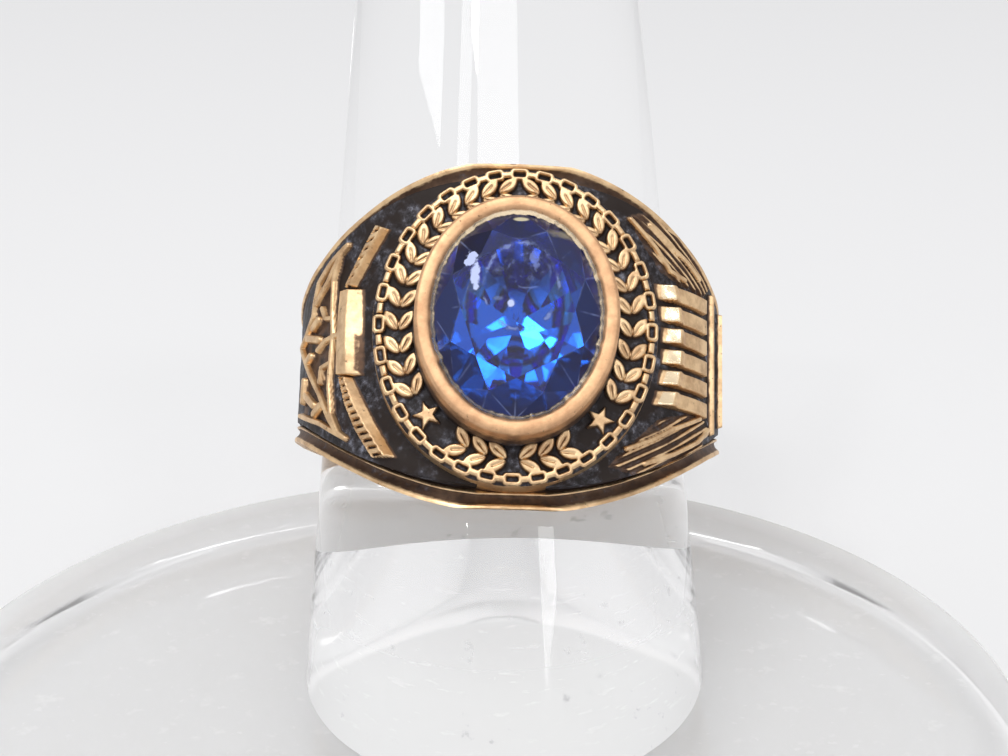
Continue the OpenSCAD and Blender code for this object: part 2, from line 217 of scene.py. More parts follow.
def shoulder(angle, drop):
    """A point of the squared-off circle: radius times the sine and the cosine to the power 0.8."""
    power = 2 / squareness
    return ((side_r - drop) * np.abs(np.sin(angle)) ** power,
            (front_r - drop) * np.abs(np.cos(angle)) ** power)


# %% [markdown]
# ## The band
# The edge of the casting is a profile carried once round the finger: the smooth hole, the flat edge, a
# thin raised lip, a broad smooth channel, a thin ridge and a narrow groove. Each point of the profile is
# given by its depth under the lip and its inset from the edge. Behind the ornament the channel runs out
# and the back of the shank is plain. The third row is the shine: 1 on the rubbed tops, near a third in
# the smooth brown channel and 0 in the blackened groove, and the metal's colour follows it later.

# %% Band profile
inset, inner, sunk, shine_row = np.array([
    (0.9, 1, 0, 0.9), (0.55, 1, 0, 0.9), (0.28, 1, 0, 0.9), (0.09, 0.82, 0, 0.9), (0, 0.55, 0, 0.8),
    (0, 0.2, 0, 0.95), (0.01, 0.05, 0, 1), (0.05, 0, 0, 1), (0.14, 0, 0, 1), (0.21, 0, 0.02, 0.9),
    (0.26, 0, 0.07, 0.5), (0.32, 0, 0.15, 0.3), (0.4, 0, 0.21, 0.27), (0.5, 0, 0.25, 0.26),
    (0.61, 0, 0.26, 0.26), (0.67, 0, 0.24, 0.32), (0.7, 0, 0.17, 0.6), (0.73, 0, 0.12, 0.85),
    (0.78, 0, 0.1, 0.9), (0.83, 0, 0.14, 0.62), (0.86, 0, 0.26, 0.25), (0.89, 0, 0.38, 0),
    (0.95, 0, 0.4, 0), (1.1, 0, 0.4, 0), (1.4, 0, 0.4, 0), (1.8, 0, 0.4, 0)]).T
print(len(inset), "points from the finger hole to the groove")


# %% Band
def rail(angle):
    """Radius of the lip: round behind, and in front the squared-off curve with power 2.2."""
    s, c = np.abs(np.sin(angle)) / rail_r, np.maximum(np.cos(angle), 0) / rail_front
    squared = (s ** rail_power + c ** rail_power + 1e-12) ** (-1 / rail_power)
    return np.where(np.cos(angle) > 0, squared, rail_r)


turns = 720
phi = np.linspace(0, 2 * math.pi, turns, endpoint=False)[:, None]
depth = smooth((rail_r * np.cos(phi) + shank_from + run_out / 2) / run_out)
radius = rail(phi) - (rail(phi) - bore_r) * inner - sunk * depth
radius = radius + cast_wave * wobble(phi * 20, inset * 4, 3) * (inner < 0.5)
along = edge_h(radius * np.cos(phi)) - inset + cast_wave * wobble(phi * 14, 0, 5)
shine = 1 - (1 - shine_row) * depth
radius, along, shine = (np.hstack([v, w[:, ::-1]]) for v, w in
                        ((radius, radius), (along, -along), (shine, shine)))
band_points = ring_points(radius * np.sin(phi), along, radius * np.cos(phi))
band = surface("ring_band_edge", band_points, shine, sharp=60)

# %% [markdown]
# ## Low relief from distances
# The cast ornament is a flat-topped pattern about a third of a millimetre high, with soft corners and
# sloped walls everywhere. So it is drawn as a distance: for every point of the grid, how far it lies
# inside or outside each little shape. The height is a soft step of that distance, and the same step
# tells the metal where to be bright.

# %% Distances
def to_bar(x, y, start, end, width):
    """Distance to a straight bar: distance to the segment, minus half the width."""
    start, end = np.array(start, float), np.array(end, float)
    run = end - start
    t = np.clip(((x - start[0]) * run[0] + (y - start[1]) * run[1]) / (run @ run), 0, 1)
    return np.hypot(x - start[0] - t * run[0], y - start[1] - t * run[1]) - width / 2


def to_polygon(x, y, corners):
    """Distance to a polygon: the least distance to its edges, negative inside by the crossing rule."""
    corners = np.array(corners, float)
    least = np.full(x.shape, 1e9)
    inside = np.zeros(x.shape, bool)
    for p, q in zip(corners, np.roll(corners, -1, 0)):
        least = np.minimum(least, to_bar(x, y, p, q, 0))
        if p[1] != q[1]:
            crosses = ((p[1] > y) != (q[1] > y)) & (x < (q[0] - p[0]) * (y - p[1]) / (q[1] - p[1]) + p[0])
            inside ^= crosses
    return np.where(inside, -least, least)


def to_box(x, y, half_x, half_y, corner):
    """Distance to an upright box whose corners have a radius."""
    dx, dy = np.abs(x) - half_x + corner, np.abs(y) - half_y + corner
    return np.hypot(np.maximum(dx, 0), np.maximum(dy, 0)) + np.minimum(np.maximum(dx, dy), 0) - corner


def to_leaf(x, y, length, width):
    """Distance to a leaf: the overlap of two equal circles that meet at both tips, from x = 0."""
    big = (length ** 2 / 4 + width ** 2 / 4) / width
    off = big - width / 2
    return np.maximum(np.hypot(x - length / 2, y + off), np.hypot(x - length / 2, y - off)) - big


def rise(distance, wall=0.12, start=0.06):
    """Height share of a shape: 0 outside, and a soft step to 1 over the width of its sloped wall."""
    return smooth((start - distance) / wall)


# %% [markdown]
# ## The oval plate
# The plate lies round the setting: a chain of open links along its edge, and inside it a wreath of leaf
# pairs with two small stars. Its grid runs round the oval and outwards from the setting's foot to the
# plate's edge, then down into the band, so it closes both ways. The even angle spaces points equally
# along an oval that is only a little longer than wide.

# %% Plate grid
def even_angle(t, a, b):
    """Ellipse angle for an even spacing: t minus a small share of the sine of twice t."""
    return t - (a * a - b * b) / (4 * (a * a + b * b)) * np.sin(2 * t)


tucked_in = -0.06
t = np.linspace(0, 2 * math.pi, 1000, endpoint=False)[:, None]
v = np.linspace(tucked_in, 1, 44)[None, :]
half_a, half_b = foot_a + (plate_a - foot_a) * v, foot_b + (plate_b - foot_b) * v
e = even_angle(t, half_a, half_b)
plate_x, plate_s = half_a * np.cos(e), half_b * np.sin(e)


def oval_frame(angle, a, b, x, y):
    """Coordinates along and across an oval, from a point of it at an even angle."""
    q = even_angle(angle, a, b)
    run = np.hypot(a * np.sin(q), b * np.cos(q))
    tx, ty = -a * np.sin(q) / run, b * np.cos(q) / run
    dx, dy = x - a * np.cos(q), y - b * np.sin(q)
    return dx * tx + dy * ty, dx * ty - dy * tx


print("plate grid:", plate_x.shape)

# %% Chain
slot_l, slot_w, link_corner, hard_corner = 0.52, 0.21, 0.24, 0.05
pitch_t = 2 * math.pi / links
gap_l = math.pi * (chain_a + chain_b) / links - link_l
nearest = np.round(t / pitch_t) * pitch_t
p, q = oval_frame(nearest, chain_a, chain_b, plate_x, plate_s)
link = to_box(p, q, link_l / 2, link_w / 2, link_corner)
slot = to_box(p, q, slot_l / 2, slot_w / 2, hard_corner)
chain = rise(np.maximum(link, -slot), 0.1, 0.04)
nearest = (np.floor(t / pitch_t) + 0.5) * pitch_t
p, q = oval_frame(nearest, chain_a, chain_b, plate_x, plate_s)
bar = to_box(p, q, gap_l / 2 + 0.06, bar_w / 2 + 0.02, hard_corner)
chain = np.maximum(chain, rise(bar, 0.1, 0.04))
print("share of the plate under the chain: %.2f" % (chain > 0.5).mean())

# %% Wreath and stars
leaf_spread, vein_l, vein_w = math.radians(33), 0.8, 0.06


def leaf_pair(angle, flip):
    """Two leaves that spread by 33 degrees from one point, with a fine vein along each."""
    p, q = oval_frame(angle, wreath_a, wreath_b, plate_x * flip, plate_s)
    best = np.zeros(plate_x.shape)
    for side in (-1, 1):
        c, s = math.cos(leaf_spread), side * math.sin(leaf_spread)
        dx, dy = p + 0.43, -q - side * 0.05
        lx, ly = dx * c + dy * s, dy * c - dx * s
        vein = smooth(1 - np.abs(ly) / vein_w) * smooth((vein_l - lx) / 0.1)
        best = np.maximum(best, rise(to_leaf(lx, ly, leaf_l, leaf_w), 0.12) * (1 - 0.3 * vein))
    return best


long_row, short_row = -27 + 9.6 / 1.04 * np.arange(13), -82 + 10.2 * np.arange(3)
star_angle = -41
tip_angles, tip_reach = np.radians(90 + 36 * np.arange(10)), np.tile([0.7, 0.3], 5)
star_points = np.stack([tip_reach * np.cos(tip_angles), tip_reach * np.sin(tip_angles)], -1)
wreath = np.zeros(plate_x.shape)
for flip in (1, -1):
    for angle in np.radians(np.append(long_row, short_row)):
        wreath = np.maximum(wreath, leaf_pair(angle, flip))
    p, q = oval_frame(math.radians(star_angle), wreath_a, wreath_b, plate_x * flip, plate_s)
    wreath = np.maximum(wreath, rise(to_polygon(p, -q, star_points), 0.1))
print("share of the plate under the wreath: %.2f" % (wreath > 0.5).mean())

# %% Plate
plate_lift = np.maximum(chain, wreath)
crest = np.sqrt(plate_curve ** 2 - plate_x ** 2) - plate_curve
grit = 0.018 * wobble(plate_x, plate_s, 11, 0.16) * (1 - plate_lift)
plate_up = ground_n + crest + relief * plate_lift + grit + 0.01 * wobble(plate_x, plate_s, 12, 0.5)
wall_v = np.array([1.006, 1.006, 0.99, tucked_in])
wall_shine = [0.85, 0.55, 0.3, 0.1]
wall_x = (foot_a + (plate_a - foot_a) * wall_v) * np.cos(e[:, -1:])
wall_s = (foot_b + (plate_b - foot_b) * wall_v) * np.sin(e[:, -1:])
edge_n = (ground_n + crest)[:, -1:]
wall_n = np.hstack([edge_n - 0.06] + [np.full_like(edge_n, n) for n in (deep_n, under_n, under_n)])
plate_points = ring_points(np.hstack([plate_x, wall_x]), np.hstack([plate_s, wall_s]),
                           np.hstack([plate_up, wall_n]))
plate_shine = np.hstack([plate_lift, np.broadcast_to(wall_shine, wall_x.shape)])
plate = surface("ring_band_plate", plate_points, plate_shine, sharp=100)

# %% [markdown]
# ## The shoulders
# Each shoulder is a panel between the plate and the shank. Its grid runs along the squared-off circle,
# by the length along it, and across from edge to edge. The pattern is drawn on the panel as if it were
# laid out flat, so a place that was read from the front as x is first turned into a length along the
# curve. The height is then taken from the ground curve towards the top curve. Where a panel passes under
# the collar its top drops away, which keeps its end out of the stone.

# %% Shoulder grid
fine = np.linspace(0, math.pi / 2, 4000)
curve_x, curve_n = shoulder(fine, 0)
curve_x, curve_n = np.append(curve_x, side_r), np.append(curve_n, -panel_back)
ground_x, ground_m = shoulder(fine, relief)
ground_x, ground_m = np.append(ground_x, side_r - relief), np.append(ground_m, -panel_back)
length = np.concatenate([[0], np.cumsum(np.hypot(np.diff(curve_x), np.diff(curve_n)))])


def flat(x):
    """Length along the shoulder at a place x seen from the front."""
    return np.interp(x, curve_x[:-1], length[:-1])


hidden_u, start_u = flat(0.6), flat(4.6)
u = np.concatenate([np.linspace(hidden_u, start_u, 14)[:-1], np.linspace(start_u, length[-1], 292)])
u = u[:, None]
top_x, top_n = np.interp(u, length, curve_x), np.interp(u, length, curve_n)
low_x, low_n = np.interp(u, length, ground_x), np.interp(u, length, ground_m)
limit = edge_h(top_n * rail_r / front_r) - panel_in
across = np.linspace(-1, 1, 262)[None, :]
sh_u, sh_s = np.broadcast_arrays(u, across * limit)
print("shoulder length %.1f mm, grid %d by %d" % (length[-1], *sh_u.shape))


def strokes(lines, width):
    """Height share of bent lines, each a row of places (u, s) joined by straight bars."""
    best = np.zeros(sh_u.shape)
    for line in lines:
        for start, end in zip(line[:-1], line[1:]):
            best = np.maximum(best, rise(to_bar(sh_u, sh_s, start, end, width)))
    return best


def to_line(line):
    """Distance to a bent line."""
    return np.minimum.reduce([to_bar(sh_u, sh_s, a, b, 0) for a, b in zip(line[:-1], line[1:])])


def panel(name, lift, shine, flip):
    """A closed block: the top grid and a short way back underneath. flip is -1 on the left."""
    fade = smooth((u - u[0]) / 0.2) * smooth((length[-1] - 0.02 - u) / 0.12)
    lift = lift * fade * smooth((limit - np.abs(sh_s)) / 0.05)
    x, n = low_x + (top_x - low_x) * lift, low_n + (top_n - low_n) * lift
    grit = 0.02 * wobble(sh_u, sh_s, 21 + flip, 0.17) * (1 - np.clip(lift, 0, 1)) * fade
    x, n = x * (1 + grit / 11), n * (1 + grit / 11)
    under_collar = smooth((1.0 - np.hypot(x / foot_a, sh_s / foot_b)) / 0.08)
    n = n - (n - deep_n) * under_collar
    size = np.hypot(low_x, low_n)
    back = np.array([1.0, 0.5, 0.0, -0.5, -1.0]) * limit
    x = np.hstack([x, low_x / size * panel_under + 0 * back])
    n = np.hstack([n, low_n / size * panel_under + 0 * back])
    s = np.hstack([sh_s, back])
    shine = np.hstack([shine * fade, 0 * back])
    points = ring_points(flip * x, s, n)
    return surface(name, points, shine, sharp=100, ends=(points[0].mean(0), points[-1].mean(0)))


# %% [markdown]
# ### The left shoulder
# Beside the plate stands a bent bracket of three strips. Each strip is a lopsided roof: a steep bright
# face towards the plate, a ridge, and a broad flatter face behind it, which is notched on the upper and
# the lower strip. The height on a face is shared out between its outer edge and the ridge by the two
# distances. Behind the bracket lies a lattice of bars on a ground that is worn in patches.

# %% Left shoulder
notch_depth = 0.9


def roof(right, ridge, left, top, back, notches=None):
    """Height of a lopsided roof between three bent lines, and 0 outside its soft edge."""
    total = np.zeros(sh_u.shape)
    to_ridge = to_line(ridge)
    for side, foot in ((right, 0.12), (left, back)):
        away = to_line(side)
        share = away / (away + to_ridge + 1e-9)
        face = foot + (top - foot) * share
        if notches and side is left:
            wave = smooth(3 * np.sin(sh_s * 2 * math.pi / notches) - 0.2)
            face = face - notch_depth * wave * smooth(share * 4) * smooth((1 - share) * 9)
        total = np.maximum(total, face * rise(to_polygon(sh_u, sh_s, side + ridge[::-1]), 0.07))
    return total


ends_lower = 1 - 0.22 * np.clip((sh_s - 0.1) / 2.3, -1, 1) ** 2
upper_strip = roof([(6.5, 5.15), (8.36, 2.5)], [(6.84, 5.26), (8.66, 2.57)], [(7.3, 5.47), (9.2, 2.63)],
                   top=1.45, back=0.7, notches=0.42)
middle_strip = roof([(7.92, 2.31), (7.74, -2.0)], [(8.74, 2.38), (8.62, -1.92)],
                    [(9.44, 2.43), (9.46, -1.78)], top=1.75, back=1.15)
lower_strip = roof([(8.42, -2.05), (7.66, -3.25), (6.92, -4.4), (5.68, -6.2)],
                   [(8.84, -2.0), (8.14, -3.38), (7.34, -4.6), (6.2, -6.15)],
                   [(9.4, -1.9), (8.8, -3.4), (8.04, -4.72), (7.0, -6.1)], top=1.4, back=0.7, notches=0.36)
bracket = np.maximum.reduce([upper_strip, middle_strip * ends_lower, lower_strip])
lattice = strokes([
    [(9.06, 4.76), (9.65, 4.38), (10.12, 3.1), (10.1, 1.63), (9.95, 0.46), (10.02, -0.76), (10.12, -2.17),
     (9.83, -3.74), (9.2, -4.72), (8.68, -5.05)],
    [(9.06, 4.76), (10.4, 4.09), (11.62, 3.3), (12.0, 2.43), (12.15, 1.7), (13.1, 0.9), (14.0, 0.5)],
    [(9.8, 4.1), (10.65, 3.13), (11.84, 2.3)],
    [(14.0, 0.5), (12.51, -0.97), (11.01, -2.46), (9.89, -4.0), (9.13, -4.81)],
    [(13.6, -3.1), (10.86, -3.98), (8.68, -5.05)],
    [(9.5, 0.25), (10.6, 0.15), (11.4, -0.2)], [(11.1, 1.9), (10.7, 1.3), (10.2, 1.2)],
    [(10.2, -1.1), (10.9, -1.2), (11.0, -1.9)]], 0.28)
lattice = np.maximum(lattice, strokes([
    [(11.3, 0.33), (12.9, 0.75)], [(13.2, -1.4), (13.3, -2.4)], [(12.8, -2.2), (11.6, -2.95)],
    [(11.5, 1.4), (12.1, 1.1)], [(12.3, -0.3), (12.9, -0.5)], [(10.9, -3.1), (11.5, -3.4)]], 0.4))
left_lift = np.maximum(bracket, lattice)
# Painted shade: the lower half of the middle strip's steep face is made less bare, so it shows browner.
shaded_lower_face = rise(to_polygon(sh_u, sh_s, [(7.7, 0.0), (8.4, 0.3), (8.36, -1.9), (7.7, -2.0)]), 0.3)
left_shine = np.clip(left_lift * 1.8, 0, 1) * (1 - 0.52 * shaded_lower_face)
worn_area = [(9.3, 4.5), (14.0, 0.8), (14.0, -3.2), (9.2, -4.7), (10.1, 0.0)]
worn_ground = rise(to_polygon(sh_u, sh_s, worn_area), 0.6)
left_shine = np.maximum(left_shine, worn_ground * (0.24 + 0.16 * wobble(sh_u, sh_s, 41, 0.2)))
left = panel("ring_band_left_shoulder", left_lift, left_shine, -1)

# %% [markdown]
# ### The right shoulder
# The right shoulder carries a ribbed banner. Each rib starts with a sloping polished facet towards the
# plate and runs on as a flat top. The facets get an extra lift that paints them pale cream, which is
# partly a painted highlight. Two frame lines stand behind it. Above and below it lie fields of fine
# strands, like feathers, with a few thicker quills across them.

# %% Right shoulder
rib_low, rib_pitch, rib_count = -0.38 * face_h, 0.124 * face_h, 6
facet_l, facet_top = 0.95, 1.8
row = (sh_s - rib_low) / rib_pitch
in_row = row - np.floor(row)
rib_start = 7.62 - 0.06 * sh_s ** 2
slope = np.clip((sh_u - rib_start) / facet_l, 0, 1)
facet = facet_top * slope + 0.5 * (0.5 - in_row) * np.sin(math.pi * slope)
flat_top = facet_top - 0.7 * smooth((sh_u - rib_start - facet_l) / 0.6)
rib = np.where(slope < 1, facet, flat_top)
gap = np.minimum(in_row, 1 - in_row) * rib_pitch - 0.1
inside = np.minimum(gap, np.minimum(sh_u - rib_start + 0.05, flat(9.7) - sh_u))
ribs = rib * rise(-inside, 0.1, 0.0) * ((row > 0) & (row < rib_count))
frame_lines = strokes([[(flat(10.15), -0.425 * face_h), (flat(10.15), 0.402 * face_h)],
                       [(flat(10.8), -0.333 * face_h), (flat(10.8), 0.345 * face_h)]], 0.16)


def feather_field(area, fall, strands, seed):
    """Many fine strands side by side: a sine of the height over a sloping line, inside an outline."""
    height = sh_s + fall * (sh_u - 6) + 0.13 * wobble(sh_u, sh_s, seed, 0.9)
    ridge = 0.62 + 0.38 * np.sin(height * 2 * math.pi / strands + 0.5 * wobble(sh_u, 0, seed + 1, 0.8))
    ridge = ridge * (0.84 + 0.16 * wobble(sh_u, sh_s, seed + 2, 0.5))
    return ridge * rise(to_polygon(sh_u, sh_s, area), 0.2)


upper_wing = feather_field([(5.5, 6.1), (6.6, 6.5), (8.6, 6.3), (10.6, 5.1), (12.0, 3.7), (11.2, 3.1),
                            (8.9, 3.25), (7.7, 3.6), (6.6, 4.75)], fall=0.62, strands=0.36, seed=51)
lower_wing = feather_field([(4.7, -6.4), (6.3, -4.85), (7.6, -3.75), (9.6, -3.2), (11.2, -3.1),
                            (12.0, -3.7), (10.4, -5.1), (8.0, -6.2), (6.2, -6.7)],
                           fall=-0.52, strands=0.4, seed=53)
quills = strokes([[(5.65, 5.95), (7.1, 4.75), (8.1, 3.72), (9.2, 3.5)],
                  [(6.8, 5.85), (8.1, 5.0), (9.3, 4.5), (10.5, 3.85)],
                  [(5.58, -5.5), (7.0, -4.9), (8.28, -4.2), (10.6, -3.25)],
                  [(6.6, -6.1), (8.4, -5.4), (10.4, -4.45), (11.6, -3.6)]], 0.26)
feathers = np.maximum.reduce([0.8 * upper_wing, 0.8 * lower_wing, quills])
right_lift = np.maximum.reduce([ribs, frame_lines, feathers])
# Painted highlight: the rib facets get extra lift, which turns their colour pale cream and their surface
# polished.
polished_highlight = 0.75 * smooth((1.02 - slope) / 0.1) * (ribs > 0.6)
brown_ground = 0.22 * (np.maximum(upper_wing, lower_wing) > 0.05)
wing_shine = np.maximum(smooth((feathers - 0.25) / 0.6), brown_ground)
right_shine = np.maximum(np.clip(np.maximum(ribs, frame_lines) * 1.8, 0, 1) + polished_highlight, wing_shine)
right_panel = panel("ring_band_right_shoulder", right_lift, right_shine, 1)

# %% [markdown]
# ## The collar
# The stone sits in an oval collar. Its wall rises from the plate, its top is a broad rounded rim, and a
# thin lip is pressed over the stone's edge, which leaves small uneven waves. The lip is worn bright, and
# its lift of 2 gives it the pale cream colour of polished metal, which is partly a painted highlight. The
# whole collar is one profile carried round the oval: from the middle of its underside, up and over the
# rim, and down the seat to its middle.

# %% Collar
t = np.linspace(0, 2 * math.pi, 480, endpoint=False)[:, None]
# Painted highlight: the gleam of 1.2 to 2 on the lip turns the metal pale cream.
out, up, gleam = np.array([
    (1.05, 10.9, 0), (1.05, 12.6, 0), (1.04, 12.9, 0.1), (1, 13.6, 0.4), (0.97, 14.5, 0.85),
    (0.96, 14.72, 1), (0.93, 14.84, 1), (0.87, 14.92, 1), (0.78, 14.95, 1), (0.62, 14.955, 1),
    (0.46, 14.95, 1), (0.36, 14.935, 1), (0.31, 14.91, 1), (0.26, 14.87, 1.2), (0.17, 14.79, 1.8),
    (0.08, 14.73, 2), (0.02, 14.7, 2), (0, 14.675, 1.6), (0.03, 14.65, 0.9), (0.21, 14.61, 0.5),
    (0.21, 14.35, 0.5)]).T
pressed = smooth((0.42 - out) / 0.4) * (out < 0.5)
waves = 0.05 * wobble(t * 24, 0 * t, 31) + 0.03 * wobble(t * 60, 0 * t, 32)
ra, rb = mouth_a + out + waves * pressed, mouth_b + out + waves * pressed
rise_n = up + cast_wave * wobble(t * 9, out * 3, 33) + 0.5 * np.abs(waves) * pressed
tip, seat_steps = 0.14, 8
cone = np.linspace(1, tip, seat_steps)[None, 1:]
ra = np.hstack([ra, seat_a * cone + 0 * t])
rb = np.hstack([rb, seat_b * cone + 0 * t])
rise_n = np.hstack([rise_n, seat_low_n + (seat_n - seat_low_n) * (cone - tip) / (1 - tip) + 0 * t])
gleam = np.broadcast_to(np.append(gleam, np.full(seat_steps - 1, 0.5)), ra.shape)
columns = ring_points(ra * np.cos(t), rb * np.sin(t), rise_n).transpose(1, 0, 2)
collar = surface("ring_band_collar", columns, gleam.T, sharp=70,
                 ends=(middle_point(collar_low_n), middle_point(seat_low_n)))

# %% [markdown]
# ## The clear stand
# The rod and the base are cast acrylic with small rounded edges. Their shape is a profile turned round an
# axis. The rod's foot is cut level where it stands on the base, so each point of its lowest ring is slid
# along the rod until it meets the base.

# %% Rod
taper = math.tan(math.radians(rod_taper))
t = np.linspace(0, 2 * math.pi, 256, endpoint=False)[None, :]
soft = 0.35
steps = np.linspace(0, math.pi / 2, 5)
upper_l = np.concatenate([[4, 12, 20, 30, 38], rod_l - soft + soft * np.sin(steps)])[:, None]
upper_r = rod_r - taper * upper_l
upper_r[5:] -= soft * (1 - np.cos(steps))[:, None]
lean = math.radians(rod_lean)
foot_gap = 0.02
y_share = np.sin(t) * math.tan(lean)
foot_l = (foot_gap / math.cos(lean) + rod_r * y_share) / (1 + taper * y_share)
rings = (len(upper_l) - 1, t.size)
lengths = np.vstack([foot_l, foot_l + 0.4 * (upper_l[0] + 6 - foot_l), np.broadcast_to(upper_l[1:], rings)])
radii = np.vstack([rod_r - taper * lengths[:2], np.broadcast_to(upper_r[1:], rings)])
rod_points = placed(np.stack([radii * np.cos(t), radii * np.sin(t), lengths], -1), rod_place)
rod_ends = (placed(np.array([0, 0, foot_gap / math.cos(lean)]), rod_place),
            placed(np.array([0, 0, rod_l]), rod_place))
edge_share = np.zeros(len(lengths))
edge_share[[0, 6, 7, 8, 9, 10]] = 1, 0.5, 1, 1, 1, 0.5
rod = surface("stand_rod_clear", rod_points, np.broadcast_to(edge_share[:, None], lengths.shape), sharp=35,
              ends=rod_ends)
print("lowest point of the rod in mm: %.3f" % (rod_points[..., 2].min() / mm))

# %% Base
steps = np.linspace(0, math.pi / 2, 7)
edge = 0.4
profile_r = np.concatenate([[base_d / 2 - 6, base_d / 2 - 2], base_d / 2 - edge + edge * np.sin(steps),
                            base_d / 2 - edge + edge * np.cos(steps), [base_d / 2 - 2, base_d / 2 - 6]])
profile_z = np.concatenate([[0, 0], edge - edge * np.cos(steps), base_t - edge + edge * np.sin(steps),
                            [base_t, base_t]])
t = np.linspace(0, 2 * math.pi, 360, endpoint=False)[None, :]
ring_r, ring_z = profile_r[:, None], profile_z[:, None]
base_points = np.stack(np.broadcast_arrays(ring_r * np.cos(t), ring_r * np.sin(t), ring_z), -1) * mm
edge_share = np.concatenate([[0, 0], np.ones(7), np.ones(7), [0, 0]])
base = surface("stand_base_clear", base_points, np.broadcast_to(edge_share[:, None], base_points.shape[:2]),
               sharp=35, ends=(np.array([0, 0, 0]), np.array([0, 0, base_t * mm])))

# %% [markdown]
# ## Building materials from nodes
# A material here is a small list of nodes and links. One helper sets or joins the inputs of a node by
# name, and short ones make the sums, so each material below reads like a recipe. The pattern of every
# material follows Object coordinates in metres, so it stays with the piece from every side.

# %% Node helpers
def material(name):
    """A new material with a Principled shader on its output."""
    m = bpy.data.materials.new(name)
    m.use_nodes = True
    return m, m.node_tree, m.node_tree.nodes["Principled BSDF"]


def feed(tree, made, inputs):
    """Sets inputs of a node to a number, a vector or a colour, or joins them to a socket."""
    for key, value in dict(inputs).items():
        socket = made.inputs[key]
        if isinstance(value, bpy.types.NodeSocket):
            tree.links.new(value, socket)
        else:
            socket.default_value = (*value, 1) if socket.type == "RGBA" else value
    return made


def node(tree, kind, inputs=(), **settings):
    """A node of a kind, with its settings and its inputs."""
    made = tree.nodes.new(kind)
    for key, value in settings.items():
        setattr(made, key, value)
    return feed(tree, made, inputs)


def ramp(tree, value, *stops):
    """A colour ramp with stops of place and colour."""
    made = node(tree, "ShaderNodeValToRGB", {"Fac": value})
    line = made.color_ramp.elements
    while len(line) < len(stops):
        line.new(0.5)
    for element, (place, colour) in zip(line, stops):
        element.position = place
        element.color = (*colour, 1) if isinstance(colour, tuple) else (colour, colour, colour, 1)
    return made.outputs["Color"]


def blend(tree, share, first, second, mode="MIX"):
    """Two colours mixed by a share."""
    return node(tree, "ShaderNodeMix", {0: share, 6: first, 7: second}, data_type="RGBA",
                blend_type=mode).outputs[2]


def noise(tree, where, scale, detail=3, roughness=0.55):
    """Smooth noise at a scale in waves per metre."""
    return node(tree, "ShaderNodeTexNoise", {"Vector": where, "Scale": scale, "Detail": detail,
                                             "Roughness": roughness}).outputs["Fac"]


def maths(tree, operation, first, second=0.0, third=0.0):
    """One operation on numbers. MULTIPLY_ADD is the first times the second plus the third."""
    return node(tree, "ShaderNodeMath", {0: first, 1: second, 2: third}, operation=operation).outputs[0]


def vectors(tree, operation, first, second=(0, 0, 0)):
    """One operation on vectors."""
    return node(tree, "ShaderNodeVectorMath", {0: first, 1: second}, operation=operation).outputs


def times(tree, first, second):
    """The product of two numbers."""
    return maths(tree, "MULTIPLY", first, second)


def rest_of(tree, share):
    """One minus a share."""
    return maths(tree, "SUBTRACT", 1.0, share)


def either(tree, *shares):
    """The largest of some shares."""
    largest = shares[0]
    for share in shares[1:]:
        largest = maths(tree, "MAXIMUM", largest, share)
    return largest


def attribute(tree, name):
    """A number that is kept on the mesh."""
    return node(tree, "ShaderNodeAttribute", attribute_name=name).outputs["Fac"]


def own_place(tree):
    """Object coordinates in metres."""
    return node(tree, "ShaderNodeTexCoord").outputs["Object"]


def from_outside(tree):
    """1 where light meets the surface from outside, and 0 where it comes from inside."""
    return rest_of(tree, node(tree, "ShaderNodeNewGeometry").outputs["Backfacing"])


print("node helpers ready")

# %% [markdown]
# ## Antique gold
# The ring was blackened and then rubbed. The lift attribute says how high a point stands, and a little
# noise makes every border uneven. Low places are a dull black-brown ground with slate dust, places near a
# third are smooth brown metal, and the tops are bare gold with soft clouds of colour and small dark pits.
# Above a lift of 1.5 the metal is polished and pale cream. The pale colour is partly a painted highlight,
# and it reaches the lip over the stone and the polished facets of the ribs. The collar has the same metal
# in a browner and duller finish.

